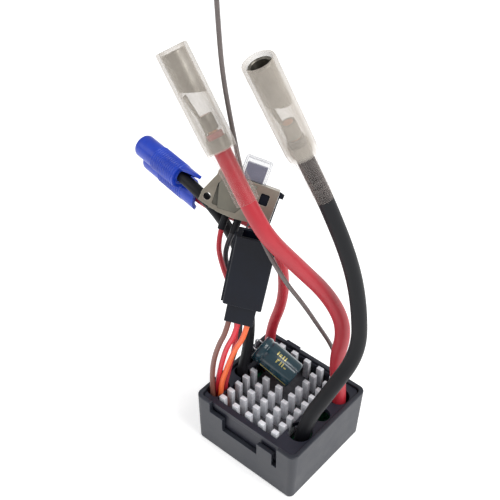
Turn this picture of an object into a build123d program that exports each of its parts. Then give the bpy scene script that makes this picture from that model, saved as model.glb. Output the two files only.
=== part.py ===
"""Electronic speed controller with built-in radio receiver, in millimetres.

The frame: the origin is under the middle of the case, +Z is up, X runs along the latched
wall and Y towards the wall behind the heatsink.  The case stands on its flat bottom and
its leads stand up out of the cover.
"""
import math
import os

from build123d import *

os.makedirs("parts", exist_ok=True)

# ---------------------------------------------------------------- driving dimensions
# case
case_length = 36.5
case_width = 34.2
case_height = 18.6
case_draft = 0.6
case_wall = 1.3
case_floor = 1.4
case_corner_radius = 1.6
rim_round = 0.3
foot_round = 0.5

# cover and its catches
cover_thickness = 1.6
cover_recess = 0.8
cover_clearance = 0.12
cover_corner_radius = 1.6
post_radius = 1.2
notch_left = -12.7
notch_right = 12.2
notch_shallow_depth = 3.9
notch_deep_left = -8.0
notch_deep_right = 5.0
notch_deep_depth = 8.6
notch_slot_width = 1.8
skirt_thickness = 0.9
skirt_length = 8.8
bead_height = 0.35
bead_width = 1.6
bead_length = 8.0
bead_x = -1.5
tongue_width = 5.0
tongue_offset = 8.6
tongue_rise = 0.8

# circuit board
board_thickness = 1.6
board_standoff = 3.6
board_gap = 0.35
board_corner_cut = 2.6
peg_radius = 1.1
peg_x = 12.3
peg_y = 9.5

# heatsink, its pad and the transistors under it
transistor_length = 6.5
transistor_width = 6.1
transistor_height = 2.3
transistor_pitch = 9.3
pad_thickness = 1.1
sink_base = 2.0
pin_length = 2.0
pin_width = 1.4
pin_pitch_x = 4.825
pin_pitch_y = 3.375
pin_columns = 5
pin_rows = 9
bed_columns = 3
bed_first_row = 5
bed_last_row = 7
pin_height = 6.9
sink_centre_x = -1.55
sink_centre_y = 0.9
window_clearance = 0.4
window_back_clearance = 0.1

# capacitor
can_diameter = 8.1
can_length = 13.2
sleeve_wall = 0.15
can_wall = 0.3
can_roll_in = 0.4
bung_thickness = 2.0
bung_recess = 0.3
can_left_end = Vector(-12.72, 5.5, 24.03)
can_direction = Vector(0.904, 0.126, -0.409)
can_lead_diameter = 0.6
can_lead_spacing = 3.5
can_lead_reach = 2.9
can_lead_bend = 1.0
can_slot_x = -14.9

# cords
motor_lead_diameter = 4.3
battery_lead_diameter = 3.2
servo_wire_diameter = 1.5
switch_wire_diameter = 1.4
antenna_diameter = 1.2
wire_fit = 0.05

# cover holes: centre and radius
rear_hole = (13.3, 10.2, 3.15)
middle_hole = (13.7, 1.5, 2.5)
front_hole = (12.9, -7.4, 3.5)
wire_opening_x = (-17.2, -12.9)
wire_opening_y = (-13.8, -7.0)
battery_hole_radius = 2.0

# bullet terminals of the motor leads and their clear sleeves
sleeve_length = 40.0
sleeve_diameter = 8.0
sleeve_thickness = 0.8
collar_length = 10.0
collar_taper = 4.0
barrel_diameter = 6.0
barrel_bore = 4.4
barrel_length = 10.6
barrel_setback = 0.9
barrel_slit = 0.9
terminal_sheet = 0.5
neck_length = 5.6
neck_width = 2.6
strip_sheet = 0.4
strip_proud = 0.15
conductor_diameter = 2.6
crimp_length = 4.0
grip_length = 3.0
grip_setback = 1.4
collar_fit = 0.1
lead_in_sleeve = 18.3
red_slit_side = Vector(0.76, 0.65, 0.02)
black_slit_side = Vector(0.76, 0.65, 0.02)

# two-pole battery connector
pole_pitch = 6.2
pole_diameter = 6.3
pole_length = 17.3
pole_mouth = 2.6
contact_diameter = 3.8
contact_bore = 2.0
contact_bore_depth = 8.0
contact_slit = 0.4
lead_in_pole = 4.0
rib_depth = 0.25
rib_pitch = 1.1
rib_count = 6
rib_start = 1.6
web_width = 3.6
fin_length = 6.4
fin_overhang = 2.7
fin_thickness = 1.2
fin_width = 4.6
pole_side = Vector(0.034, 0.388, -0.921)

# servo connector
shroud_bottom = Vector(-6.6, -10.1, 57.9)
shroud_axis = Vector(0.033, 0.22, 0.975)
shroud_side = Vector(0.854, 0.483, -0.193)
shroud_width = 10.4
shroud_depth = 5.2
shroud_length = 20.7
plug_width = 7.8
plug_depth = 3.4
plug_fit = 0.05
plug_showing = 6.0
plug_hidden = 6.0
pin_square = 0.64
pin_reach = 15.0
ferrule_length = 3.0
rail_height = 0.6
rail_width = 1.4
rail_offset = -0.8

# power switch: places on its face are measured from the middle of the face
switch_centre = Vector(-16.8, 0.1, 81.8)
switch_slide = Vector(0.866, 0.439, -0.240)
switch_up = Vector(-0.067, 0.577, 0.814)
switch_sheet = 0.5
switch_depth = 5.0
switch_left = -7.4
switch_right = 9.3
switch_top = 4.6
switch_base_bottom = -5.6
ear_hole = (-8.0, -2.9)
ear_hole_diameter = 2.0
knob_centre = 1.65
knob_width = 5.4
knob_height = 4.2
knob_depth = 3.4
knob_neck_width = 2.4
knob_neck_depth = 1.6
boot_wall = 0.9
boot_top = 1.6
switch_travel = 2.0
slide_clearance = 0.2
lug_width = 1.6
lug_thickness = 0.4
lug_length = 2.6
lug_spacing = 3.4
lug_hole = 0.8
first_lug = -1.9
ear_tip_x = -9.9
plate_bottom = -4.9
base_notch_x = -3.2
base_notch_y = -2.4
base_notch_z = -2.2
left_window = ((-6.4, 0.4), (-4.4, 1.6))
right_window = ((4.9, 7.3), (-0.3, 2.7))
well_floor = 1.0
slider_length = 5.0
slider_sheet = 0.4
slide_gap = 0.1

# ---------------------------------------------------------------- derived places
draft_angle = math.degrees(math.atan(case_draft / case_height))
board_bottom = case_floor + board_standoff
board_top = board_bottom + board_thickness
transistor_top = board_top + transistor_height
sink_bottom = transistor_top + pad_thickness
sink_top = sink_bottom + sink_base
cover_top = case_height - cover_recess
cover_bottom = cover_top - cover_thickness


def half_length(z):
    """Half of the outer length of the case at height z."""
    return case_length / 2 - case_draft * (1 - z / case_height)


def half_width(z):
    """Half of the outer width of the case at height z."""
    return case_width / 2 - case_draft * (1 - z / case_height)


cover_half_x = half_length(cover_bottom) - case_wall - cover_clearance
cover_half_y = half_width(cover_bottom) - case_wall - cover_clearance
board_half_x = half_length(board_bottom) - case_wall - board_gap
board_half_y = half_width(board_bottom) - case_wall - board_gap
sink_half_x = (pin_columns - 1) * pin_pitch_x / 2 + pin_length / 2
sink_half_y = (pin_rows - 1) * pin_pitch_y / 2 + pin_width / 2
post_x = half_length(board_bottom) - case_wall - post_radius / 2
post_y = half_width(board_bottom) - case_wall - post_radius / 2
bead_z = cover_bottom - skirt_length + 1.0
skirt_face = half_width(cover_bottom - skirt_length) - case_wall - cover_clearance


def finish(piece, name):
    """Label a finished piece and write it out."""
    piece.label = name
    export_step(piece, f"parts/{name}.step")


# ---------------------------------------------------------------- cord routes
motor_red_route = [
    (13.9, 9.7, 7.6), (13.9, 9.6, 20.0), (12.0, 8.6, 33.5), (13.4, 9.4, 46.5),
    (9.6, 6.2, 58.5), (4.5, -3.0, 73.0), (0.6, -9.4, 83.2), (-3.4, -10.9, 90.2),
    (-10.0, -10.7, 99.0), (-16.3, -10.5, 107.1),
]
motor_black_route = [
    (13.0, -7.8, 7.6), (13.3, -6.9, 21.0), (17.2, -0.6, 33.0), (20.8, 5.8, 45.5),
    (18.4, 6.6, 61.0), (14.8, 5.8, 74.5), (8.9, 2.4, 91.2), (5.6, -0.6, 101.0),
    (2.3, -3.4, 110.6),
]
battery_red_route = [
    (-14.4, 11.7, 7.6), (-14.4, 11.9, 16.5), (-14.5, 13.0, 26.0), (-12.0, 14.0, 36.0),
    (-11.5, 14.0, 45.5), (-12.5, 13.0, 55.0), (-15.5, 10.5, 63.0), (-19.0, 6.5, 68.5),
    (-23.3, 2.6, 71.4), (-30.0, 0.1, 73.4), (-39.8, 1.8, 73.7),
]
battery_black_route = [
    (-14.4, -1.0, 7.6), (-14.3, -1.2, 16.5), (-13.5, 0.5, 25.5), (-13.5, 1.5, 35.5),
    (-15.5, 2.5, 46.0), (-17.0, 2.2, 56.0), (-18.8, 0.8, 65.1), (-22.6, -1.2, 73.3),
    (-30.1, -2.3, 79.1), (-40.0, -0.6, 79.4),
]
servo_brown_route = [
    (-15.0, -12.2, 7.4), (-15.6, -12.6, 19.0), (-15.0, -13.0, 30.0), (-12.5, -13.4, 39.8),
    (-9.1, -13.6, 48.3), (-8.9, -11.9, 55.9),
]
servo_red_route = [
    (-15.0, -10.2, 7.4), (-15.6, -10.4, 19.0), (-13.2, -11.3, 30.0), (-10.6, -12.0, 39.5),
    (-6.9, -12.4, 47.9), (-6.7, -10.7, 55.5),
]
servo_orange_route = [
    (-13.3, -11.2, 7.4), (-13.9, -11.4, 19.0), (-11.5, -10.4, 30.0), (-8.4, -10.9, 39.5),
    (-4.8, -11.1, 47.4), (-4.6, -9.4, 55.0),
]
switch_red_route = [
    (-13.3, -9.1, 7.4), (-14.0, -9.2, 16.5), (-13.5, -7.5, 25.0), (-12.2, -6.5, 35.0),
    (-12.5, -5.5, 45.0), (-14.0, -6.0, 54.5), (-17.0, -7.0, 63.5), (-18.6, -6.6, 69.5),
    (-19.2, -3.8, 74.1),
]
switch_black_route = [
    (-15.0, -8.2, 7.4), (-15.4, -8.3, 17.5), (-14.0, -5.5, 26.5), (-13.0, -3.5, 36.0),
    (-13.5, -3.0, 45.0), (-15.5, -4.0, 54.5), (-17.6, -4.8, 62.5), (-17.2, -4.6, 68.5),
    (-16.2, -2.3, 73.3),
]
antenna_route = [
    (11.6, 12.2, 7.4), (12.0, 11.95, 17.0), (11.4, 12.4, 26.5), (8.0, 12.0, 34.0),
    (5.8, 7.2, 44.5), (4.8, 1.0, 56.5), (3.3, -4.5, 66.4), (-0.3, -7.6, 75.9),
    (-5.2, -7.8, 84.0), (-10.8, -6.0, 93.5), (-15.6, -4.4, 105.0), (-18.8, -4.4, 119.0),
    (-19.5, -5.0, 131.5), (-19.0, -6.5, 144.0), (-18.2, -8.3, 155.5),
]


def bend_radii(route):
    """Each corner's arc: 0.45 of the shorter run, over the tangent of half the turn."""
    points = [Vector(*point) for point in route]
    radii = []
    for before, corner, after in zip(points, points[1:], points[2:]):
        run_in = corner - before
        run_out = after - corner
        half_turn = math.radians(run_in.get_angle(run_out)) / 2
        radii.append(0.45 * min(run_in.length, run_out.length) / math.tan(half_turn))
    return radii


def make_cord(name, route, diameter):
    """A round cord along straight runs joined by tangent arcs."""
    radii = bend_radii(route)
    with BuildPart() as cord:
        with BuildLine() as path:
            FilletPolyline(*route, radius=radii)
        start = Plane(origin=route[0], z_dir=Vector(*route[1]) - Vector(*route[0]))
        with BuildSketch(start):
            Circle(diameter / 2)
        sweep(path=path.wire())
    length = path.wire().length
    section = math.pi * diameter**2 / 4
    tightest = min(radii) / diameter
    print(f"{name}: {length:.0f} mm, radii {[round(r) for r in radii]},", end=" ")
    print(f"tightest {tightest:.1f} d, volume ratio {cord.part.volume / section / length:.3f}")
    finish(cord.part, name)
    return cord.part


def frame_along(origin, ahead, side):
    """A frame at origin whose Z runs along ahead and whose X is as near side as it can be."""
    along = ahead.normalized()
    across = (side - along * side.dot(along)).normalized()
    return Plane(origin=origin, x_dir=across, z_dir=along)


def end_frame(route, side):
    """The frame at a cord's far end: Z runs on along the last run."""
    last = Vector(*route[-1])
    return frame_along(last, last - Vector(*route[-2]), side)


def profile_plane(frame):
    """The plane through a frame's Z whose own X and Y are the frame's X and Z."""
    return Plane(origin=frame.origin, x_dir=frame.x_dir, z_dir=-frame.y_dir)


# ---------------------------------------------------------------- bottom case
with BuildPart() as bottom_case:
    with BuildSketch():
        Rectangle(case_length - 2 * case_draft, case_width - 2 * case_draft)
        fillet(vertices(), case_corner_radius)
    extrude(amount=case_height, taper=-draft_angle)
    fillet(edges().group_by(Axis.Z)[0], foot_round)
    with BuildSketch(Plane.XY.offset(case_floor)):
        Rectangle(2 * (half_length(case_floor) - case_wall), 2 * (half_width(case_floor) - case_wall))
        fillet(vertices(), case_corner_radius / 2)
    extrude(amount=case_height - case_floor, taper=-draft_angle, mode=Mode.SUBTRACT)
    fillet(edges().group_by(Axis.Z)[-1], rim_round)
    # corner posts that the cover sits on
    with BuildSketch(Plane.XY.offset(case_floor)):
        with GridLocations(2 * post_x, 2 * post_y, 2, 2):
            Circle(post_radius)
    extrude(amount=cover_bottom - case_floor)
    # short pegs that the circuit board sits on
    with BuildSketch(Plane.XY.offset(case_floor)):
        with GridLocations(2 * peg_x, 2 * peg_y, 2, 2):
            Circle(peg_radius)
    extrude(amount=board_standoff)
    # stepped opening in the front wall, with a narrow slot at its right end
    shallow = case_height - notch_shallow_depth
    deep = case_height - notch_deep_depth
    slot_left = notch_right - notch_slot_width
    above = case_height + 1
    with BuildSketch(Plane.XZ.offset(case_width / 2 - 2 * case_wall)):
        with BuildLine():
            Polyline(
                (notch_left, above), (notch_left, shallow), (notch_deep_left, shallow),
                (notch_deep_left, deep), (notch_deep_right, deep), (notch_deep_right, shallow),
                (slot_left, shallow), (slot_left, deep), (notch_right, deep), (notch_right, above),
                close=True,
            )
        make_face()
    extrude(amount=3 * case_wall, mode=Mode.SUBTRACT)
    # two openings in the back wall for the tongues of the cover
    with BuildSketch(Plane.XY.offset(cover_bottom - cover_clearance)):
        with Locations((0, case_width / 2 - case_wall)):
            with GridLocations(2 * tongue_offset, 0, 2, 1):
                Rectangle(tongue_width + 2 * cover_clearance, 3 * case_wall)
    extrude(amount=case_height, mode=Mode.SUBTRACT)
    # pocket in the front wall for the bead of the cover's skirt
    with BuildSketch(Plane.XZ.offset(skirt_face)):
        with Locations((bead_x, bead_z)):
            Rectangle(bead_length + 2 * cover_clearance, bead_width + 2 * cover_clearance)
    extrude(amount=bead_height + cover_clearance, mode=Mode.SUBTRACT)
finish(bottom_case.part, "bottom_case")

# ---------------------------------------------------------------- cover
window_front = sink_centre_y - sink_half_y - window_clearance
window_back = sink_centre_y + sink_half_y + window_back_clearance
window_left = sink_centre_x - sink_half_x - window_clearance
window_right = sink_centre_x + sink_half_x + window_clearance

with BuildPart() as top_cover:
    with BuildSketch(Plane.XY.offset(cover_bottom)):
        Rectangle(2 * cover_half_x, 2 * cover_half_y)
        fillet(vertices(), cover_corner_radius)
        # window for the heatsink, open into the two battery lead holes
        with Locations(((window_left + window_right) / 2, (window_front + window_back) / 2)):
            Rectangle(window_right - window_left, window_back - window_front, mode=Mode.SUBTRACT)
        for route in (battery_red_route, battery_black_route):
            hole_x, hole_y = route[1][0], route[1][1]
            with Locations((hole_x, hole_y)):
                Circle(battery_hole_radius, mode=Mode.SUBTRACT)
            with Locations(((hole_x + window_left) / 2, hole_y)):
                Rectangle(window_left - hole_x + 0.2, 2 * battery_hole_radius, mode=Mode.SUBTRACT)
        # slot for the capacitor's leads
        with Locations((can_slot_x, can_left_end.Y)):
            SlotOverall(can_lead_spacing + 2.4, 1.5, rotation=90, mode=Mode.SUBTRACT)
        # holes for the motor leads and the aerial, and one left empty
        for hole_x, hole_y, radius in (rear_hole, middle_hole, front_hole):
            with Locations((hole_x, hole_y)):
                Circle(radius, mode=Mode.SUBTRACT)
        # opening at the left edge for the servo and switch wires
        with Locations((sum(wire_opening_x) / 2, sum(wire_opening_y) / 2)):
            RectangleRounded(wire_opening_x[1] - wire_opening_x[0],
                             wire_opening_y[1] - wire_opening_y[0], 1.5, mode=Mode.SUBTRACT)
    extrude(amount=cover_thickness)
    # springy skirt behind the front opening, with a snap bead near its foot
    with BuildSketch(Plane.XY.offset(cover_bottom - skirt_length)):
        with Locations(((notch_left + notch_right) / 2, -skirt_face + skirt_thickness / 2)):
            Rectangle(notch_right - notch_left + 1.2, skirt_thickness)
    extrude(amount=skirt_length + cover_thickness / 2)
    with BuildSketch(Plane.XZ.offset(skirt_face)):
        with Locations((bead_x, bead_z)):
            Rectangle(bead_length, bead_width)
    extrude(amount=bead_height)
    # tongues that hook into the back wall and stand a little over the rim
    tongue_front = window_back
    tongue_back = case_width / 2 - 0.2
    with BuildSketch(Plane.XY.offset(cover_bottom)):
        with Locations((0, (tongue_front + tongue_back) / 2)):
            with GridLocations(2 * tongue_offset, 0, 2, 1):
                Rectangle(tongue_width, tongue_back - tongue_front)
    extrude(amount=cover_thickness)
    with BuildSketch(Plane.XY.offset(cover_bottom)):
        with Locations((0, tongue_back - case_wall / 2)):
            with GridLocations(2 * tongue_offset, 0, 2, 1):
                Rectangle(tongue_width, case_wall)
    extrude(amount=cover_thickness + cover_recess + tongue_rise)
finish(top_cover.part, "top_cover")

# ---------------------------------------------------------------- heatsink and its pad
pins = []
for column in range(pin_columns):
    for row in range(pin_rows):
        # no pins where the capacitor lies
        if column < bed_columns and bed_first_row <= row <= bed_last_row:
            continue
        pins.append((sink_centre_x + (column - (pin_columns - 1) / 2) * pin_pitch_x,
                     sink_centre_y + (row - (pin_rows - 1) / 2) * pin_pitch_y))

with BuildPart() as heatsink:
    with BuildSketch(Plane.XY.offset(sink_bottom)):
        with Locations((sink_centre_x, sink_centre_y)):
            Rectangle(2 * sink_half_x, 2 * sink_half_y)
    extrude(amount=sink_base)
    with BuildSketch(Plane.XY.offset(sink_top)):
        with Locations(*pins):
            Rectangle(pin_length, pin_width)
    extrude(amount=pin_height)
finish(heatsink.part, "heatsink")

with BuildPart() as thermal_pad:
    with BuildSketch(Plane.XY.offset(transistor_top)):
        with Locations((sink_centre_x, sink_centre_y)):
            Rectangle(2 * sink_half_x - 2, 2 * sink_half_y - 1.6)
    extrude(amount=pad_thickness)
finish(thermal_pad.part, "thermal_pad")

# ---------------------------------------------------------------- circuit board
with BuildPart() as circuit_board:
    with BuildSketch(Plane.XY.offset(board_bottom)):
        Rectangle(2 * board_half_x, 2 * board_half_y)
        chamfer(vertices(), board_corner_cut)
    extrude(amount=board_thickness)
finish(circuit_board.part, "circuit_board")

transistors = [(sink_centre_x + column * transistor_pitch, sink_centre_y + row * transistor_pitch)
               for column in (-0.5, 0.5) for row in (-1, 0, 1)]
with BuildPart() as mosfets:
    with BuildSketch(Plane.XY.offset(board_top)):
        with Locations(*transistors):
            Rectangle(transistor_length, transistor_width)
    extrude(amount=transistor_height)
    # the metal tab behind each body and the two legs in front of it
    with BuildSketch(Plane.XY.offset(board_top)):
        with Locations(*[(x, y + transistor_width / 2 + 0.5) for x, y in transistors]):
            Rectangle(5.2, 1.0)
        with Locations(*[(x + leg, y - transistor_width / 2 - 0.6)
                         for x, y in transistors for leg in (-2.28, 2.28)]):
            Rectangle(0.8, 1.2)
    extrude(amount=0.5)
finish(mosfets.part, "mosfets")


def box_under_board(name, centre, length, width, height):
    """A flat component soldered under the board."""
    with BuildPart() as component:
        with BuildSketch(Plane.XY.offset(board_bottom - height)):
            with Locations(centre):
                Rectangle(length, width)
        extrude(amount=height)
        chamfer(component.faces().sort_by(Axis.Z)[0].edges(), 0.1)
    finish(component.part, name)


box_under_board("microcontroller", (-4.0, 1.5), 7.0, 7.0, 1.0)
box_under_board("radio_chip", (6.0, 6.5), 4.0, 4.0, 0.9)
box_under_board("crystal", (6.0, 1.8), 3.2, 2.5, 0.8)
box_under_board("voltage_regulator", (-4.0, -8.0), 6.5, 6.1, 2.3)

with BuildPart() as small_components:
    with BuildSketch(Plane.XY.offset(board_bottom - 0.7)):
        with Locations((6.0, -6.5)):
            with GridLocations(2.6, 2.4, 4, 3):
                Rectangle(1.6, 0.8)
    extrude(amount=0.7)
finish(small_components.part, "small_components")

# ---------------------------------------------------------------- capacitor
can_level = Vector(can_direction.Y, -can_direction.X, 0).normalized()
can_frame = frame_along(can_left_end, can_direction, can_level)
can_radius = can_diameter / 2
roll_start = bung_recess + bung_thickness

with BuildPart() as capacitor_can:
    with BuildSketch(can_frame):
        Circle(can_radius)
    extrude(amount=can_length)
    with BuildSketch(can_frame):
        Circle(can_radius - can_wall)
    extrude(amount=can_length - can_wall, mode=Mode.SUBTRACT)
    # the rolled-in edge that holds the bung
    with BuildSketch(can_frame):
        Circle(can_radius)
        Circle(can_radius - can_wall - can_roll_in, mode=Mode.SUBTRACT)
    extrude(amount=bung_recess)
finish(capacitor_can.part, "capacitor_can")

with BuildPart() as capacitor_sleeve:
    with BuildSketch(can_frame):
        Circle(can_radius + sleeve_wall)
        Circle(can_radius, mode=Mode.SUBTRACT)
    extrude(amount=can_length)
    # the shrunk edge over the closed end
    with BuildSketch(can_frame.offset(can_length)):
        Circle(can_radius + sleeve_wall)
        Circle(can_radius - 0.8, mode=Mode.SUBTRACT)
    extrude(amount=sleeve_wall)
finish(capacitor_sleeve.part, "capacitor_sleeve")

with BuildPart() as capacitor_bung:
    with BuildSketch(can_frame.offset(bung_recess)):
        Circle(can_radius - can_wall)
        with GridLocations(can_lead_spacing, 0, 2, 1):
            Circle(can_lead_diameter / 2, mode=Mode.SUBTRACT)
    extrude(amount=bung_thickness)
finish(capacitor_bung.part, "capacitor_bung")

with BuildPart() as capacitor_roll:
    with BuildSketch(can_frame.offset(roll_start)):
        Circle(can_radius - can_wall - 0.2)
    extrude(amount=can_length - roll_start - can_wall)
finish(capacitor_roll.part, "capacitor_roll")

with BuildPart() as capacitor_leads:
    for side in (-1, 1):
        inner = can_frame.from_local_coords(Vector(side * can_lead_spacing / 2, 0, roll_start))
        bend = can_frame.from_local_coords(Vector(side * can_lead_spacing / 2, 0, -can_lead_reach))
        foot = Vector(can_slot_x, bend.Y, board_top)
        with BuildLine() as lead_path:
            FilletPolyline(inner, bend, foot, radius=can_lead_bend)
        with BuildSketch(Plane(origin=inner, z_dir=bend - inner)):
            Circle(can_lead_diameter / 2)
        sweep(path=lead_path.wire())
    with BuildSketch(Plane.XY.offset(board_top)):
        Rectangle(2 * case_length, 2 * case_width)
    extrude(amount=-board_thickness, mode=Mode.SUBTRACT)
finish(capacitor_leads.part, "capacitor_leads")

# ---------------------------------------------------------------- cords
make_cord("motor_lead_red", motor_red_route, motor_lead_diameter)
make_cord("motor_lead_black", motor_black_route, motor_lead_diameter)
make_cord("battery_lead_red", battery_red_route, battery_lead_diameter)
make_cord("battery_lead_black", battery_black_route, battery_lead_diameter)
make_cord("servo_wire_brown", servo_brown_route, servo_wire_diameter)
make_cord("servo_wire_red", servo_red_route, servo_wire_diameter)
make_cord("servo_wire_orange", servo_orange_route, servo_wire_diameter)
make_cord("switch_wire_red", switch_red_route, switch_wire_diameter)
make_cord("switch_wire_black", switch_black_route, switch_wire_diameter)
make_cord("antenna_wire", antenna_route, antenna_diameter)

# solder under every cord, up to the cord's end
soldered = [
    (motor_red_route, motor_lead_diameter), (motor_black_route, motor_lead_diameter),
    (battery_red_route, battery_lead_diameter), (battery_black_route, battery_lead_diameter),
    (servo_brown_route, servo_wire_diameter), (servo_red_route, servo_wire_diameter),
    (servo_orange_route, servo_wire_diameter), (switch_red_route, switch_wire_diameter),
    (switch_black_route, switch_wire_diameter), (antenna_route, antenna_diameter),
]
with BuildPart() as solder_joints:
    for route, diameter in soldered:
        x, y, z = route[0]
        with Locations((x, y, (board_top + z) / 2)):
            Cone(diameter / 2 + 0.1, diameter / 2 - 0.15, z - board_top)
finish(solder_joints.part, "solder_joints")

# ---------------------------------------------------------------- motor terminals and sleeves
open_end = sleeve_length - lead_in_sleeve
barrel_top = open_end - barrel_setback
barrel_foot = barrel_top - barrel_length
neck_foot = barrel_foot - neck_length
crimp_foot = neck_foot - crimp_length
lead_radius = motor_lead_diameter / 2
crimp_radius = conductor_diameter / 2
grip_radius = lead_radius + wire_fit
sleeve_radius = sleeve_diameter / 2


def ring(frame, height, inner, outer, length):
    """A tube about a frame's Z, from height upwards."""
    with BuildSketch(frame.offset(height)) as section:
        Circle(outer)
        Circle(inner, mode=Mode.SUBTRACT)
    extrude(section.sketch, amount=length)


def make_motor_end(colour, route, side):
    """The terminal, the bare strands and the clear sleeve at a motor lead's end.

    They are made upright at the origin and then put at the lead's end.
    """
    place = end_frame(route, side).location
    frame = Plane.XY
    with BuildPart() as terminal:
        # slit barrel
        with BuildSketch(frame.offset(barrel_foot)):
            Circle(barrel_diameter / 2)
            Circle(barrel_bore / 2, mode=Mode.SUBTRACT)
            with Locations((barrel_diameter / 2, 0)):
                Rectangle(barrel_diameter, barrel_slit, mode=Mode.SUBTRACT)
        extrude(amount=barrel_length)
        # crimp on the strands and grip on the insulation
        ring(frame, crimp_foot, crimp_radius, crimp_radius + terminal_sheet, crimp_length)
        ring(frame, -grip_setback - grip_length, grip_radius, grip_radius + terminal_sheet,
             grip_length)
        # the strip of sheet that joins the three, set half into their walls
        with BuildSketch(profile_plane(frame)):
            with BuildLine():
                barrel_x = -(barrel_bore / 2 + terminal_sheet + 0.1)
                crimp_x = -(crimp_radius + terminal_sheet + strip_proud)
                grip_x = -(grip_radius + terminal_sheet + strip_proud)
                Polyline(
                    (barrel_x, barrel_foot + 1), (barrel_x, barrel_foot),
                    (crimp_x, neck_foot), (crimp_x, crimp_foot + terminal_sheet),
                    (grip_x, -0.2), (grip_x, -grip_setback - 0.8),
                    (grip_x + strip_sheet, -grip_setback - 0.8), (grip_x + strip_sheet, -0.1),
                    (crimp_x + strip_sheet, crimp_foot + terminal_sheet + 0.1),
                    (crimp_x + strip_sheet, neck_foot),
                    (barrel_x + strip_sheet, barrel_foot),
                    (barrel_x + strip_sheet, barrel_foot + 1), close=True,
                )
            make_face()
        extrude(amount=neck_width / 2, both=True)
    finish(terminal.part.moved(place), f"motor_terminal_{colour}")

    with BuildPart() as strands:
        with BuildSketch(frame):
            Circle(crimp_radius)
        extrude(amount=neck_foot)
    finish(strands.part.moved(place), f"motor_strands_{colour}")

    with BuildPart() as sleeve:
        low = -lead_in_sleeve
        collar_inside = lead_radius + collar_fit
        with BuildSketch(profile_plane(frame)):
            with BuildLine():
                Polyline(
                    (collar_inside, low), (collar_inside + sleeve_thickness, low),
                    (collar_inside + sleeve_thickness, low + collar_length),
                    (sleeve_radius, low + collar_length + collar_taper), (sleeve_radius, open_end),
                    (sleeve_radius - sleeve_thickness, open_end),
                    (sleeve_radius - sleeve_thickness, low + collar_length + collar_taper),
                    (collar_inside, low + collar_length), close=True,
                )
            make_face()
        revolve(axis=Axis(frame.origin, frame.z_dir))
    finish(sleeve.part.moved(place), f"terminal_sleeve_{colour}")


make_motor_end("red", motor_red_route, red_slit_side)
make_motor_end("black", motor_black_route, black_slit_side)

# ---------------------------------------------------------------- battery connector
pole_radius = pole_diameter / 2
contact_length = pole_length - lead_in_pole - pole_mouth
pole_frames = [end_frame(battery_black_route, pole_side), end_frame(battery_red_route, pole_side)]

with BuildPart() as battery_connector:
    for frame in pole_frames:
        with BuildSketch(frame.offset(-lead_in_pole)):
            Circle(pole_radius)
        extrude(amount=pole_length)
        # raised rings over the front half
        for rib in range(rib_count):
            with BuildSketch(frame.offset(pole_length - lead_in_pole - rib_start - rib * rib_pitch)):
                Circle(pole_radius + rib_depth)
            extrude(amount=rib_pitch / 2)
    # the web between the poles
    web_frame = pole_frames[0].offset(-lead_in_pole)
    with BuildSketch(web_frame):
        with Locations((pole_pitch / 2, 0)):
            Rectangle(pole_pitch, web_width)
    extrude(amount=pole_length)
    for turn, frame in zip((-1, 1), pole_frames):
        # guard fin that runs on past the rear opening
        with BuildSketch(frame.offset(-lead_in_pole - fin_overhang)):
            with Locations((turn * (pole_radius + fin_thickness / 2 - 0.4), 0)):
                Rectangle(fin_thickness, fin_width)
        extrude(amount=fin_length)
        # hole for the lead, seat for the contact and the open mouth
        with BuildSketch(frame.offset(-lead_in_pole - fin_overhang)):
            Circle(battery_lead_diameter / 2 + wire_fit)
        extrude(amount=lead_in_pole + fin_overhang, mode=Mode.SUBTRACT)
        with BuildSketch(frame):
            Circle(contact_diameter / 2)
        extrude(amount=pole_length - lead_in_pole, mode=Mode.SUBTRACT)
finish(battery_connector.part, "battery_connector")

with BuildPart() as battery_contacts:
    for frame in pole_frames:
        with BuildSketch(frame):
            Circle(contact_diameter / 2)
        extrude(amount=contact_length)
        with BuildSketch(frame.offset(contact_length - contact_bore_depth)):
            Circle(contact_bore / 2)
            Rectangle(contact_diameter + 1, contact_slit)
        extrude(amount=contact_bore_depth, mode=Mode.SUBTRACT)
finish(battery_contacts.part, "battery_contacts")

# ---------------------------------------------------------------- servo connector
shroud_frame = frame_along(shroud_bottom, shroud_axis, shroud_side)

with BuildPart() as servo_plug:
    with BuildSketch(shroud_frame.offset(-plug_showing)):
        RectangleRounded(plug_width, plug_depth, 0.3)
    extrude(amount=plug_showing + plug_hidden)
    # bores for the wires and the crimped ends of the pins
    for route in (servo_brown_route, servo_red_route, servo_orange_route):
        frame = end_frame(route, shroud_side)
        with BuildSketch(frame.offset(-plug_showing)):
            Circle(servo_wire_diameter / 2 + wire_fit)
        extrude(amount=plug_showing + ferrule_length, mode=Mode.SUBTRACT)
        with BuildSketch(frame):
            Rectangle(pin_square, pin_square)
        extrude(amount=2 * plug_hidden, mode=Mode.SUBTRACT)
finish(servo_plug.part, "servo_plug")

with BuildPart() as servo_pins:
    for route in (servo_brown_route, servo_red_route, servo_orange_route):
        frame = end_frame(route, shroud_side)
        with BuildSketch(frame):
            Circle(servo_wire_diameter / 2)
        extrude(amount=ferrule_length)
        with BuildSketch(frame.offset(ferrule_length)):
            Rectangle(pin_square, pin_square)
        extrude(amount=pin_reach)
finish(servo_pins.part, "servo_pins")

with BuildPart() as servo_shroud:
    with BuildSketch(shroud_frame):
        RectangleRounded(shroud_width, shroud_depth, 0.6)
        # keying rail on the left edge
        with Locations((-shroud_width / 2 - rail_height / 2 + 0.1, rail_offset)):
            Rectangle(rail_height + 0.2, rail_width)
        Rectangle(plug_width + 2 * plug_fit, plug_depth + 2 * plug_fit, mode=Mode.SUBTRACT)
    extrude(amount=shroud_length)
finish(servo_shroud.part, "servo_shroud")

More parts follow.
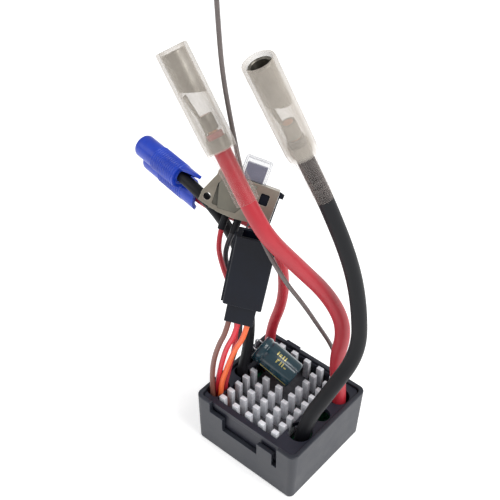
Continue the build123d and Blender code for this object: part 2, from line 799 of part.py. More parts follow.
# ---------------------------------------------------------------- power switch
switch_face = frame_along(switch_centre, switch_slide.cross(switch_up), switch_slide)
inside_left = switch_left + switch_sheet
inside_right = switch_right - switch_sheet
inside_top = switch_top - switch_sheet
middle_depth = -(switch_depth + switch_sheet) / 2


def slab(plane, x_range, y_range, z_range, mode=Mode.ADD):
    """A block given by its ranges in a plane's own directions."""
    with BuildSketch(plane.offset(z_range[0])) as section:
        with Locations((sum(x_range) / 2, sum(y_range) / 2)):
            Rectangle(x_range[1] - x_range[0], y_range[1] - y_range[0])
    extrude(section.sketch, amount=z_range[1] - z_range[0], mode=mode)


def around(middle, width):
    """The range of a width about its middle."""
    return (middle - width / 2, middle + width / 2)


lug_places = [first_lug + index * lug_spacing for index in range(3)]
lug_depths = around(middle_depth, lug_thickness)
contact_range = (knob_centre - slider_length / 2, knob_centre + slider_length / 2)
well = (contact_range[0] - switch_travel - slide_clearance, contact_range[1] + slide_clearance)

with BuildPart() as switch_frame:
    # face plate with an ear at its left end
    with BuildSketch(switch_face.offset(-switch_sheet)):
        with BuildLine():
            Polyline(
                (ear_tip_x, ear_hole[1] - 1.5), (ear_tip_x + 0.2, ear_hole[1] + 1.2),
                (switch_left, switch_top - 1.2), (switch_left, switch_top),
                (switch_right, switch_top), (switch_right, plate_bottom),
                (0.2, plate_bottom - 1.2), (-4.2, plate_bottom - 0.9),
                (switch_left - 1.5, ear_hole[1] - 1.8), close=True,
            )
        make_face()
        with Locations(ear_hole):
            Circle(ear_hole_diameter / 2, mode=Mode.SUBTRACT)
        for window_x, window_y in (left_window, right_window):
            with Locations((sum(window_x) / 2, sum(window_y) / 2)):
                RectangleRounded(window_x[1] - window_x[0], window_y[1] - window_y[0], 0.4,
                                 mode=Mode.SUBTRACT)
    extrude(amount=switch_sheet)
    # folded sides and top
    depths = (-switch_depth, -switch_sheet)
    slab(switch_face, (switch_left, switch_right), (inside_top, switch_top), depths)
    slab(switch_face, (switch_left, inside_left), (base_notch_y, switch_top), depths)
    slab(switch_face, (inside_right, switch_right), (plate_bottom, switch_top), depths)
    # slot that the knob's neck slides in
    slab(switch_face,
         (knob_centre - knob_neck_width / 2 - switch_travel - slide_clearance,
          knob_centre + knob_neck_width / 2 + slide_clearance),
         (inside_top - 0.1, switch_top + 0.1),
         around(middle_depth, knob_neck_depth + 2 * slide_clearance), Mode.SUBTRACT)
finish(switch_frame.part, "switch_frame")

with BuildPart() as switch_base:
    slab(switch_face, (inside_left, inside_right), (switch_base_bottom, inside_top),
         (-switch_depth, -switch_sheet))
    # corner left away for the battery lead
    slab(switch_face, (inside_left, base_notch_x), (switch_base_bottom, base_notch_y),
         (-switch_depth, base_notch_z), Mode.SUBTRACT)
    # well for the sliding contact
    slab(switch_face, well, (well_floor, inside_top + 1),
         around(middle_depth, knob_neck_depth + 4 * slide_clearance), Mode.SUBTRACT)
    for x in lug_places:
        slab(switch_face, around(x, lug_width), (switch_base_bottom - 1, well_floor + 1),
             lug_depths, Mode.SUBTRACT)
finish(switch_base.part, "switch_base")

with BuildPart() as switch_terminals:
    for x in lug_places:
        slab(switch_face, around(x, lug_width), (switch_base_bottom - lug_length, well_floor),
             lug_depths)
        with BuildSketch(switch_face.offset(lug_depths[0])):
            with Locations((x, switch_base_bottom - lug_length + 1.1)):
                Circle(lug_hole / 2)
        extrude(amount=lug_thickness, mode=Mode.SUBTRACT)
finish(switch_terminals.part, "switch_terminals")

with BuildPart() as switch_slider:
    slab(switch_face, contact_range, (well_floor + slide_gap, well_floor + slide_gap + slider_sheet),
         around(middle_depth, knob_neck_depth))
finish(switch_slider.part, "switch_slider")

knob_foot = switch_top + slide_clearance
with BuildPart() as switch_knob:
    slab(switch_face, around(knob_centre, knob_neck_width),
         (well_floor + slide_gap + slider_sheet, knob_foot + 0.1),
         around(middle_depth, knob_neck_depth))
    slab(switch_face, around(knob_centre, knob_width), (knob_foot, knob_foot + knob_height),
         around(middle_depth, knob_depth))
finish(switch_knob.part, "switch_knob")

with BuildPart() as switch_boot:
    slab(switch_face, around(knob_centre, knob_width + 2 * boot_wall),
         (knob_foot, knob_foot + knob_height + boot_top),
         around(middle_depth, knob_depth + 2 * boot_wall))
    slab(switch_face, around(knob_centre, knob_width), (knob_foot - 1, knob_foot + knob_height),
         around(middle_depth, knob_depth), Mode.SUBTRACT)
finish(switch_boot.part, "switch_boot")
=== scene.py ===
# %% [markdown]
# # A motor speed controller, piece by piece
# A speed controller sits between a battery and a small motor. This one is an open
# black case with a pin heatsink, a capacitor, and ten cords that stand up out of it.
# The solid model comes from model.glb, so this lesson adds what a solid model lacks:
# soft cords, clear sleeves, rounded plastic, worn metal and the light to see them by.

# %% Load the fixed frame
import math
import random

import bmesh
import bpy
from mathutils import Matrix, Vector


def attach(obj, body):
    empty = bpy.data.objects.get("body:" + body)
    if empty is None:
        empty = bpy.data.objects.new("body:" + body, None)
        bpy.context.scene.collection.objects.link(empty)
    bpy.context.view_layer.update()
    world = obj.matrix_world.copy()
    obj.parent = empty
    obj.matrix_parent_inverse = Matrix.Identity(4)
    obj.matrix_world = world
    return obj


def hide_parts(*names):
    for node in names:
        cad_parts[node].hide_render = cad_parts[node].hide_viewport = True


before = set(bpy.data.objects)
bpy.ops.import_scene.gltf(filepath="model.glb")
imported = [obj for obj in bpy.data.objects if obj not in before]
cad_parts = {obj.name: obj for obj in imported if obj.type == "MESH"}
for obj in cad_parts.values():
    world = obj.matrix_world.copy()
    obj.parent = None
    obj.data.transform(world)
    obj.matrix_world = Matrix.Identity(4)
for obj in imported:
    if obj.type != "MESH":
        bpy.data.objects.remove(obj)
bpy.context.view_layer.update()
MM = 0.001
BODY = "controller"
SLIDER = "switch_slider"

# %% [markdown]
# ## The camera
# A camera is a place and three directions. Writing the directions down as the columns
# of a matrix fixes the tilt as well, which aiming at a target would leave to chance.

# %% Camera
view_right = Vector((0.7619, 0.6475, 0.0178)).normalized()
view_back = view_right.cross(Vector((-0.4375, 0.4941, 0.7513))).normalized()
view_up = view_back.cross(view_right)
camera_data = bpy.data.cameras.new("studio_camera")
camera_data.lens = 71.28
camera_data.sensor_width = 36.0
camera_data.clip_start = 0.01
camera = bpy.data.objects.new("studio_camera", camera_data)
camera.matrix_world = (Matrix.Translation((0.11251, -0.15242, 0.23905))
                       @ Matrix((view_right, view_up, view_back)).transposed().to_4x4())
bpy.context.scene.collection.objects.link(camera)
bpy.context.scene.camera = camera
bpy.context.scene.view_settings.view_transform = "Standard"
print("camera looks along", [round(v, 3) for v in -view_back])

# %% [markdown]
# ## Shared effects
# Real surfaces are never one flat colour. Four small node groups give every finish its
# variation: a blotchy mask, a fine relief, lines drawn one way, and an edge mask along
# which a highlight is painted, on the olive panel a shade. Each is built once and placed
# in many materials with different values.


# %% A helper for node groups
def new_group(name, inputs, outputs):
    """An empty shader group with named sockets."""
    group = bpy.data.node_groups.new(name, "ShaderNodeTree")
    for label, kind, value in inputs:
        socket = group.interface.new_socket(label, in_out="INPUT", socket_type=kind)
        if value is not None:
            socket.default_value = value
    for label, kind in outputs:
        group.interface.new_socket(label, in_out="OUTPUT", socket_type=kind)
    return group, group.nodes.new("NodeGroupInput"), group.nodes.new("NodeGroupOutput")


VECTOR, FLOAT = "NodeSocketVector", "NodeSocketFloat"

# %% Blotches: a soft mask that drifts over the surface
blotches, given, result = new_group(
    "blotches", [("Vector", VECTOR, None), ("Scale", FLOAT, 300.0), ("Contrast", FLOAT, 0.5)],
    [("Mask", FLOAT)])
noise = blotches.nodes.new("ShaderNodeTexNoise")
noise.inputs["Detail"].default_value = 5.0
noise.inputs["Roughness"].default_value = 0.6
centre = blotches.nodes.new("ShaderNodeMath")
centre.operation = "SUBTRACT"
centre.inputs[1].default_value = 0.5
swing = blotches.nodes.new("ShaderNodeMath")
swing.operation = "MULTIPLY_ADD"
swing.use_clamp = True
swing.inputs[2].default_value = 0.5
blotches.links.new(given.outputs["Vector"], noise.inputs["Vector"])
blotches.links.new(given.outputs["Scale"], noise.inputs["Scale"])
blotches.links.new(noise.outputs["Fac"], centre.inputs[0])
blotches.links.new(centre.outputs[0], swing.inputs[0])
blotches.links.new(given.outputs["Contrast"], swing.inputs[1])
blotches.links.new(swing.outputs[0], result.inputs["Mask"])
print("group", blotches.name)

# %% Relief: the fine grain that a mould or a cast leaves
relief, given, result = new_group(
    "relief", [("Vector", VECTOR, None), ("Scale", FLOAT, 2000.0)], [("Height", FLOAT)])
fine = relief.nodes.new("ShaderNodeTexNoise")
fine.inputs["Detail"].default_value = 3.0
pits = relief.nodes.new("ShaderNodeTexVoronoi")
both = relief.nodes.new("ShaderNodeMath")
both.operation = "MULTIPLY_ADD"
both.inputs[1].default_value = 0.6
relief.links.new(given.outputs["Vector"], fine.inputs["Vector"])
relief.links.new(given.outputs["Scale"], fine.inputs["Scale"])
relief.links.new(given.outputs["Vector"], pits.inputs["Vector"])
relief.links.new(given.outputs["Scale"], pits.inputs["Scale"])
relief.links.new(pits.outputs["Distance"], both.inputs[0])
relief.links.new(fine.outputs["Fac"], both.inputs[2])
relief.links.new(both.outputs[0], result.inputs["Height"])
print("group", relief.name)

# %% Drawn lines: noise squeezed along one direction, as sawn or brushed metal has
drawn_lines, given, result = new_group(
    "drawn_lines", [("Vector", VECTOR, None), ("Stretch", VECTOR, (1.0, 1.0, 1.0)),
                    ("Scale", FLOAT, 1500.0)], [("Height", FLOAT)])
squeeze = drawn_lines.nodes.new("ShaderNodeVectorMath")
squeeze.operation = "MULTIPLY"
streaks = drawn_lines.nodes.new("ShaderNodeTexNoise")
streaks.inputs["Detail"].default_value = 2.0
drawn_lines.links.new(given.outputs["Vector"], squeeze.inputs[0])
drawn_lines.links.new(given.outputs["Stretch"], squeeze.inputs[1])
drawn_lines.links.new(squeeze.outputs[0], streaks.inputs["Vector"])
drawn_lines.links.new(given.outputs["Scale"], streaks.inputs["Scale"])
drawn_lines.links.new(streaks.outputs["Fac"], result.inputs["Height"])
print("group", drawn_lines.name)

# %% Soft edge: where a rounded normal and the true one differ, an edge is near; its mask places the painted edge highlight and shade
soft_edge, given, result = new_group(
    "soft_edge", [("Radius", FLOAT, 0.0002)], [("Normal", VECTOR), ("Mask", FLOAT)])
rounded = soft_edge.nodes.new("ShaderNodeBevel")
rounded.samples = 6
true_normal = soft_edge.nodes.new("ShaderNodeNewGeometry")
agree = soft_edge.nodes.new("ShaderNodeVectorMath")
agree.operation = "DOT_PRODUCT"
differ = soft_edge.nodes.new("ShaderNodeMapRange")
differ.inputs["From Min"].default_value = 1.0
differ.inputs["From Max"].default_value = 0.8
soft_edge.links.new(given.outputs["Radius"], rounded.inputs["Radius"])
soft_edge.links.new(rounded.outputs[0], agree.inputs[0])
soft_edge.links.new(true_normal.outputs["Normal"], agree.inputs[1])
soft_edge.links.new(agree.outputs["Value"], differ.inputs["Value"])
soft_edge.links.new(rounded.outputs[0], result.inputs["Normal"])
soft_edge.links.new(differ.outputs["Result"], result.inputs["Mask"])
print("group", soft_edge.name)

# %% [markdown]
# ## One recipe for every finish
# A finish mixes two near colours by blotches, varies its gloss the same way, and bends
# the light a little with relief. Values that are the same all over the surface are set
# straight on the shader's sockets.


# %% The recipe
def shade(value):
    """One channel of a screen colour, 0 to 255, as light."""
    value /= 255
    return value / 12.92 if value <= 0.04045 else ((value + 0.055) / 1.055) ** 2.4


def tint(red, green, blue):
    return (shade(red), shade(green), shade(blue), 1.0)


def placed(nodes, group, **values):
    """A group node with its values set."""
    node = nodes.new("ShaderNodeGroup")
    node.node_tree = group
    for label, value in values.items():
        node.inputs[label].default_value = value
    return node


def make_finish(name, base, other, patch=350.0, contrast=1.6, gloss=(0.45, 0.6),
                grain=2500.0, depth=0.00001, edge=None, edge_radius=0.0002, lines=None, **plain):
    """A material of two near colours with varied gloss, fine relief and an edge colour that paints
    light along its edges.
    """
    material = bpy.data.materials.new(name)
    material.use_nodes = True
    nodes, links = material.node_tree.nodes, material.node_tree.links
    shader = nodes["Principled BSDF"]
    for label, value in plain.items():
        shader.inputs[label.replace("_", " ")].default_value = value
    where = nodes.new("ShaderNodeTexCoord").outputs["Object"]

    mask = placed(nodes, blotches, Scale=patch, Contrast=contrast)
    links.new(where, mask.inputs["Vector"])
    colour = nodes.new("ShaderNodeMix")
    colour.data_type = "RGBA"
    colour.inputs[6].default_value = base
    colour.inputs[7].default_value = other
    links.new(mask.outputs["Mask"], colour.inputs[0])
    rough = nodes.new("ShaderNodeMapRange")
    rough.inputs["To Min"].default_value, rough.inputs["To Max"].default_value = gloss
    links.new(mask.outputs["Mask"], rough.inputs["Value"])
    links.new(rough.outputs["Result"], shader.inputs["Roughness"])

    if lines is None:
        height = placed(nodes, relief, Scale=grain)
    else:
        height = placed(nodes, drawn_lines, Scale=grain, Stretch=lines)
    links.new(where, height.inputs["Vector"])
    bump = nodes.new("ShaderNodeBump")
    bump.inputs["Distance"].default_value = depth
    links.new(height.outputs["Height"], bump.inputs["Height"])
    links.new(bump.outputs["Normal"], shader.inputs["Normal"])

    if edge is None:
        links.new(colour.outputs[2], shader.inputs["Base Color"])
        return material
    # The edge colour is painted light: lighter than the base it is a painted highlight, darker it
    # is painted shade.
    rim = placed(nodes, soft_edge, Radius=edge_radius)
    links.new(rim.outputs["Normal"], bump.inputs["Normal"])
    painted_edge_mix = nodes.new("ShaderNodeMix")
    painted_edge_mix.data_type = "RGBA"
    painted_edge_mix.inputs[7].default_value = edge
    links.new(rim.outputs["Mask"], painted_edge_mix.inputs[0])
    links.new(colour.outputs[2], painted_edge_mix.inputs[6])
    links.new(painted_edge_mix.outputs[2], shader.inputs["Base Color"])
    return material


# %% Plastics and rubbers
# The edge colours of these plastics are lighter than their bases: painted highlights along the
# edges.
case_plastic = make_finish("case_plastic", tint(33, 36, 44), tint(45, 48, 57), patch=180.0,
                           gloss=(0.38, 0.55), grain=2600.0, depth=0.000014,
                           edge=tint(74, 77, 88), edge_radius=0.00022)
cover_plastic = make_finish("cover_plastic", tint(20, 22, 34), tint(30, 32, 46), patch=240.0,
                            gloss=(0.40, 0.52), grain=3000.0, depth=0.000008,
                            edge=tint(52, 55, 70))
red_silicone = make_finish("red_silicone", tint(166, 30, 44), tint(186, 44, 56), patch=120.0,
                           gloss=(0.36, 0.5), grain=1800.0, depth=0.000006)
black_silicone = make_finish("black_silicone", tint(11, 12, 16), tint(19, 20, 25), patch=140.0,
                             gloss=(0.42, 0.56), grain=1800.0, depth=0.000008,
                             Specular_IOR_Level=0.25)
brown_vinyl = make_finish("brown_vinyl", tint(112, 66, 58), tint(130, 80, 68), gloss=(0.32, 0.45))
red_vinyl = make_finish("red_vinyl", tint(214, 36, 56), tint(226, 52, 66), gloss=(0.32, 0.45))
orange_vinyl = make_finish("orange_vinyl", tint(240, 98, 48), tint(250, 116, 60),
                           gloss=(0.32, 0.45))
black_vinyl = make_finish("black_vinyl", tint(30, 30, 36), tint(42, 42, 48), gloss=(0.32, 0.45))
grey_vinyl = make_finish("grey_vinyl", tint(92, 84, 84), tint(108, 99, 96), gloss=(0.35, 0.5))
black_housing = make_finish("black_housing", tint(8, 11, 21), tint(17, 22, 35), patch=160.0,
                            gloss=(0.38, 0.5), grain=2400.0, depth=0.00001,
                            edge=tint(52, 57, 68), edge_radius=0.0002,
                            Specular_IOR_Level=0.2)
blue_housing = make_finish("blue_housing", tint(13, 44, 156), tint(24, 70, 198), patch=160.0,
                           gloss=(0.26, 0.38), grain=2000.0, depth=0.000008,
                           edge=tint(46, 96, 220), edge_radius=0.00015)
phenolic = make_finish("phenolic", tint(92, 92, 84), tint(108, 107, 97), patch=500.0,
                       gloss=(0.5, 0.65), edge=tint(128, 126, 114))
knob_plastic = make_finish("knob_plastic", tint(120, 120, 142), tint(136, 136, 158),
                           gloss=(0.35, 0.5), edge=tint(160, 160, 178))
chip_epoxy = make_finish("chip_epoxy", tint(38, 38, 40), tint(50, 50, 52), gloss=(0.5, 0.65))
pad_rubber = make_finish("pad_rubber", tint(190, 200, 206), tint(174, 186, 192), gloss=(0.6, 0.75))
board_mask = make_finish("board_mask", tint(24, 92, 62), tint(34, 108, 74), gloss=(0.25, 0.4))
bung_rubber = make_finish("bung_rubber", tint(40, 40, 42), tint(52, 52, 54), gloss=(0.6, 0.75))
winding_paper = make_finish("winding_paper", tint(178, 160, 128), tint(160, 142, 112),
                            gloss=(0.7, 0.85))
print("plastics and rubbers made")

# %% Metals
# The edge colours of the pin aluminium and the steel sheet are painted highlights along their
# edges.
bright_aluminium = make_finish("bright_aluminium", tint(236, 238, 242), tint(196, 198, 206),
                               patch=700.0, contrast=2.6, gloss=(0.26, 0.46), grain=900.0,
                               depth=0.00003, lines=(1.0, 1.0, 0.12), edge=tint(253, 253, 254),
                               edge_radius=0.0002, Metallic=0.12)
satin_can = make_finish("satin_can", tint(168, 170, 176), tint(146, 148, 154), patch=500.0,
                        gloss=(0.3, 0.45), Metallic=0.9)
steel_sheet = make_finish("steel_sheet", tint(176, 168, 154), tint(148, 142, 130), patch=260.0,
                          contrast=2.4, gloss=(0.28, 0.45), grain=1400.0, depth=0.00001,
                          lines=(0.2, 1.0, 1.0), edge=tint(214, 208, 196),
                          edge_radius=0.00015, Metallic=0.8)
nickel = make_finish("nickel", tint(142, 138, 128), tint(108, 104, 97), patch=420.0,
                     contrast=2.6, gloss=(0.26, 0.42), Metallic=0.85)
gold_plate = make_finish("gold_plate", tint(226, 190, 110), tint(206, 168, 92), patch=500.0,
                         gloss=(0.22, 0.35), Metallic=0.9)
copper_strand = make_finish("copper_strand", tint(214, 150, 112), tint(184, 120, 86),
                            patch=900.0, gloss=(0.3, 0.45), grain=4000.0, depth=0.00006,
                            lines=(1.0, 1.0, 0.1), Metallic=0.9)
tinned = make_finish("tinned", tint(196, 198, 202), tint(168, 170, 174), patch=700.0,
                     gloss=(0.25, 0.4), Metallic=0.9)
print("metals made")

# %% [markdown]
# ## Clear plastic
# The terminal sleeves and the switch's boot are milky: light gets through, but less so
# where the wall is seen on the slant. A low alpha makes each wall a thin veil, and
# Layer Weight thickens the veil towards the rim, as a real wall does. The collar that
# grips the cord has the thinnest veil, so that the cord shows through it.


# %% Clear finishes
def make_clear(name, base, other, thin, thick, blend=0.35):
    """A milky finish that is thin face on and thick towards its outline."""
    material = make_finish(name, base, other, patch=140.0, contrast=2.0, gloss=(0.22, 0.4),
                           grain=1200.0, depth=0.00001)
    nodes, links = material.node_tree.nodes, material.node_tree.links
    slant = nodes.new("ShaderNodeLayerWeight")
    slant.inputs["Blend"].default_value = blend
    veil = nodes.new("ShaderNodeMapRange")
    veil.inputs["To Min"].default_value = thin
    veil.inputs["To Max"].default_value = thick
    links.new(slant.outputs["Facing"], veil.inputs["Value"])
    links.new(veil.outputs["Result"], nodes["Principled BSDF"].inputs["Alpha"])
    return material


sleeve_vinyl = make_clear("sleeve_vinyl", tint(210, 202, 191), tint(192, 183, 172), 0.24, 0.75)
collar_vinyl = make_clear("collar_vinyl", tint(214, 200, 192), tint(198, 182, 174), 0.02, 0.6,
                          blend=0.12)
boot_silicone = make_clear("boot_silicone", tint(172, 173, 180), tint(156, 157, 164), 0.1, 0.9)
print("clear finishes made")

# %% [markdown]
# ## The cords
# A cord has no straight runs in it. A NURBS spline with a few control points gives one
# smooth line, and its bevel gives it a round section. The control points are the route
# that the cord takes through the air, set down in millimetres.

# %% Routes
motor_red_route = [
    (13.9, 9.7, 7.6), (13.9, 9.6, 20.0), (12.0, 8.6, 33.5), (13.4, 9.4, 46.5),
    (9.6, 6.2, 58.5), (4.5, -3.0, 73.0), (0.6, -9.4, 83.2), (-3.4, -10.9, 90.2),
    (-10.0, -10.7, 99.0), (-16.3, -10.5, 107.1),
]
motor_black_route = [
    (13.0, -7.8, 7.6), (13.3, -6.9, 21.0), (17.2, -0.6, 33.0), (20.8, 5.8, 45.5),
    (18.4, 6.6, 61.0), (14.8, 5.8, 74.5), (8.9, 2.4, 91.2), (5.6, -0.6, 101.0),
    (2.3, -3.4, 110.6),
]
battery_red_route = [
    (-14.4, 11.7, 7.6), (-14.4, 11.9, 16.5), (-14.5, 13.0, 26.0), (-12.0, 14.0, 36.0),
    (-11.5, 14.0, 45.5), (-12.5, 13.0, 55.0), (-15.5, 10.5, 63.0), (-19.0, 6.5, 68.5),
    (-23.3, 2.6, 71.4), (-30.0, 0.1, 73.4), (-39.8, 1.8, 73.7),
]
battery_black_route = [
    (-14.4, -1.0, 7.6), (-14.3, -1.2, 16.5), (-13.5, 0.5, 25.5), (-13.5, 1.5, 35.5),
    (-15.5, 2.5, 46.0), (-17.0, 2.2, 56.0), (-18.8, 0.8, 65.1), (-22.6, -1.2, 73.3),
    (-30.1, -2.3, 79.1), (-40.0, -0.6, 79.4),
]
servo_brown_route = [
    (-15.0, -12.2, 7.4), (-15.6, -12.6, 19.0), (-15.0, -13.0, 30.0), (-12.5, -13.4, 39.8),
    (-9.1, -13.6, 48.3), (-8.9, -11.9, 55.9),
]
servo_red_route = [
    (-15.0, -10.2, 7.4), (-15.6, -10.4, 19.0), (-13.2, -11.3, 30.0), (-10.6, -12.0, 39.5),
    (-6.9, -12.4, 47.9), (-6.7, -10.7, 55.5),
]
servo_orange_route = [
    (-13.3, -11.2, 7.4), (-13.9, -11.4, 19.0), (-11.5, -10.4, 30.0), (-8.4, -10.9, 39.5),
    (-4.8, -11.1, 47.4), (-4.6, -9.4, 55.0),
]
switch_red_route = [
    (-13.3, -9.1, 7.4), (-14.0, -9.2, 16.5), (-13.5, -7.5, 25.0), (-12.2, -6.5, 35.0),
    (-12.5, -5.5, 45.0), (-14.0, -6.0, 54.5), (-17.0, -7.0, 63.5), (-18.6, -6.6, 69.5),
    (-19.2, -3.8, 74.1),
]
switch_black_route = [
    (-15.0, -8.2, 7.4), (-15.4, -8.3, 17.5), (-14.0, -5.5, 26.5), (-13.0, -3.5, 36.0),
    (-13.5, -3.0, 45.0), (-15.5, -4.0, 54.5), (-17.6, -4.8, 62.5), (-17.2, -4.6, 68.5),
    (-16.2, -2.3, 73.3),
]
antenna_route = [
    (11.6, 12.2, 7.4), (12.0, 11.95, 17.0), (11.4, 12.4, 26.5), (8.0, 12.0, 34.0),
    (5.8, 7.2, 44.5), (4.8, 1.0, 56.5), (3.3, -4.5, 66.4), (-0.3, -7.6, 75.9),
    (-5.2, -7.8, 84.0), (-10.8, -6.0, 93.5), (-15.6, -4.4, 105.0), (-18.8, -4.4, 119.0),
    (-19.5, -5.0, 131.5), (-19.0, -6.5, 144.0), (-18.2, -8.3, 155.5),
]
print("ten routes")


# %% Laying a cord
def lay_cord(name, node, route, diameter, finish):
    """A round cord along its route, standing for the CAD node."""
    data = bpy.data.curves.new(name, "CURVE")
    data.dimensions = "3D"
    spline = data.splines.new("NURBS")
    spline.points.add(len(route) - 1)
    for point, place in zip(spline.points, route):
        point.co = (*[MM * value for value in place], 1.0)
    spline.order_u = 3
    spline.use_endpoint_u = True
    spline.resolution_u = 14
    data.bevel_depth = MM * diameter / 2
    data.bevel_resolution = 7
    data.use_fill_caps = True
    data.materials.append(finish)
    cord = bpy.data.objects.new(name, data)
    bpy.context.scene.collection.objects.link(cord)
    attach(cord, BODY)
    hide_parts(node)
    print(name, "on", len(route), "points,", diameter, "mm thick")
    return cord


red_motor_cable = lay_cord("red_motor_cable", "motor_lead_red", motor_red_route, 4.3,
                           red_silicone)
black_motor_cable = lay_cord("black_motor_cable", "motor_lead_black", motor_black_route, 4.3,
                             black_silicone)
red_battery_cable = lay_cord("red_battery_cable", "battery_lead_red", battery_red_route, 3.2,
                             red_silicone)
black_battery_cable = lay_cord("black_battery_cable", "battery_lead_black",
                               battery_black_route, 3.2, black_silicone)
brown_wire = lay_cord("brown_wire", "servo_wire_brown", servo_brown_route, 1.5,
                      brown_vinyl)
red_wire = lay_cord("red_wire", "servo_wire_red", servo_red_route, 1.5, red_vinyl)
orange_wire = lay_cord("orange_wire", "servo_wire_orange", servo_orange_route, 1.5,
                       orange_vinyl)
red_switch_wire = lay_cord("red_switch_wire", "switch_wire_red", switch_red_route, 1.4,
                           red_silicone)
black_switch_wire = lay_cord("black_switch_wire", "switch_wire_black", switch_black_route, 1.4,
                             black_vinyl)
aerial = lay_cord("aerial", "antenna_wire", antenna_route, 1.2, grey_vinyl)

# %% [markdown]
# ## Helpers for new pieces
# Each piece is shaped in millimetres in its own upright frame, where its numbers are
# easy to read, and then turned into place. The object itself stays at the origin.


# %% Shaping helpers
def frame_along(origin, ahead, side):
    """The matrix from a piece's own millimetres, Z along ahead and X near side."""
    along = Vector(ahead).normalized()
    across = (Vector(side) - along * Vector(side).dot(along)).normalized()
    turn = Matrix((across, along.cross(across), along)).transposed().to_4x4()
    return Matrix.Translation(Vector(origin) * MM) @ turn @ Matrix.Scale(MM, 4)


def end_frame(route, side):
    """The frame at a cord's far end."""
    return frame_along(route[-1], Vector(route[-1]) - Vector(route[-2]), side)


def spun(shape, profile, steps=48, closed=True):
    """Turn a profile of (radius, height) points round the Z axis, into shape."""
    points = [shape.verts.new((radius, 0.0, height)) for radius, height in profile]
    ahead = points[1:] + points[:1] if closed else points[1:]
    edges = [shape.edges.new(pair) for pair in zip(points, ahead)]
    bmesh.ops.spin(shape, geom=points + edges, axis=(0, 0, 1), cent=(0, 0, 0),
                   angle=math.tau, steps=steps, use_merge=True)
    bmesh.ops.remove_doubles(shape, verts=shape.verts[:], dist=0.0005)


def block(shape, x_range, y_range, z_range):
    """A block between two places on each axis."""
    ranges = (x_range, y_range, z_range)
    middle = Vector([(low + high) / 2 for low, high in ranges])
    size = Vector([high - low for low, high in ranges])
    place = Matrix.Translation(middle) @ Matrix.Diagonal((*size, 1.0))
    bmesh.ops.create_cube(shape, size=1.0, matrix=place)


def prism(shape, outline, low, high):
    """A plate with a polygon outline."""
    face = shape.faces.new([shape.verts.new((x, y, low)) for x, y in outline])
    grown = bmesh.ops.extrude_face_region(shape, geom=[face])["geom"]
    tops = [item for item in grown if isinstance(item, bmesh.types.BMVert)]
    bmesh.ops.translate(shape, vec=(0, 0, high - low), verts=tops)


def add_shape(whole, shape):
    """Add one shape to another and let it go."""
    scratch = bpy.data.meshes.new("scratch")
    shape.to_mesh(scratch)
    shape.free()
    whole.from_mesh(scratch)
    bpy.data.meshes.remove(scratch)


def round_edges(shape, radius, segments=2, sharper_than=30):
    """Bevel the edges that turn more than an angle."""
    limit = math.radians(sharper_than)
    sharp = [edge for edge in shape.edges
             if len(edge.link_faces) == 2 and edge.calc_face_angle(0) > limit]
    bmesh.ops.bevel(shape, geom=sharp, offset=radius, segments=segments, profile=0.5,
                    affect="EDGES", material=-1, clamp_overlap=True)


def make_piece(name, shape, matrix, finishes, stands_for=(), body=BODY, sharp_angle=40):
    """Put a finished shape in place as an object that rides on a body."""
    bmesh.ops.transform(shape, matrix=matrix, verts=shape.verts[:])
    bmesh.ops.recalc_face_normals(shape, faces=shape.faces[:])
    mesh = bpy.data.meshes.new(name)
    shape.to_mesh(mesh)
    shape.free()
    mesh.shade_smooth()
    mesh.set_sharp_from_angle(angle=math.radians(sharp_angle))
    for finish in finishes:
        mesh.materials.append(finish)
    piece = bpy.data.objects.new(name, mesh)
    bpy.context.scene.collection.objects.link(piece)
    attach(piece, body)
    if stands_for:
        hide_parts(*stands_for)
    print(name, "has", len(mesh.polygons), "faces")
    return piece


# %% [markdown]
# ## The clear sleeves
# A sleeve is a soft tube that has been pushed over the lead, so it is stretched thin
# on the terminal and bunched into faint rings where it grips the cord. Spinning one
# closed profile gives both walls at once, with a rounded lip at the open end.

# %% Sleeves
sleeve_profile = [
    (2.35, -18.3), (2.30, -14.0), (2.28, -9.0), (2.55, -7.4), (3.05, -4.6), (3.2, -3.2),
    (3.2, 8.0), (3.2, 21.2), (3.32, 21.6), (3.6, 21.7), (3.88, 21.6), (4.0, 21.2),
    (4.0, 12.0), (3.96, 2.0), (3.9, -3.0), (3.75, -4.6), (3.4, -6.6), (3.12, -8.2),
    (3.04, -9.6), (3.0, -11.0), (3.0, -11.35), (3.12, -11.5), (3.0, -11.65), (2.98, -13.2),
    (2.98, -13.5), (3.07, -13.62), (2.98, -13.75), (2.97, -16.5), (2.98, -17.6),
    (3.03, -18.0), (2.95, -18.3), (2.7, -18.4),
]
slit_side = (0.76, 0.65, 0.02)
motor_ends = {
    "red": end_frame(motor_red_route, slit_side),
    "black": end_frame(motor_black_route, slit_side),
}
COLLAR_TOP, SLEEVE_STEPS = -5.0, 56
for colour, place in motor_ends.items():
    tube = bmesh.new()
    spun(tube, sleeve_profile, steps=SLEEVE_STEPS)
    for face in tube.faces:
        face.material_index = int(face.calc_center_median().z < COLLAR_TOP)
    make_piece(f"clear_sleeve_{colour}", tube, place,
                                 [sleeve_vinyl, collar_vinyl],
                                 [f"terminal_sleeve_{colour}"])

# %% [markdown]
# ## The bullet terminals
# A bullet terminal is rolled from one strip of plated sheet: a slit barrel, a narrow
# neck, a crimp on the bare strands and a grip on the insulation. Partial spins of thin
# closed profiles make the rolled parts, and a slanted cut shapes the barrel's foot.


# %% Terminals
def rolled(shape, profile, middle, sweep, steps):
    """Sheet rolled round the Z axis: a closed profile spun over part of a turn."""
    points = [shape.verts.new((radius, 0.0, height)) for radius, height in profile]
    section = shape.faces.new(points)
    start = Matrix.Rotation(math.radians(middle - sweep / 2), 3, "Z")
    bmesh.ops.rotate(shape, cent=(0, 0, 0), matrix=start, verts=points)
    bmesh.ops.spin(shape, geom=points + list(section.edges) + [section], axis=(0, 0, 1),
                   cent=(0, 0, 0), angle=math.radians(sweep), steps=steps)


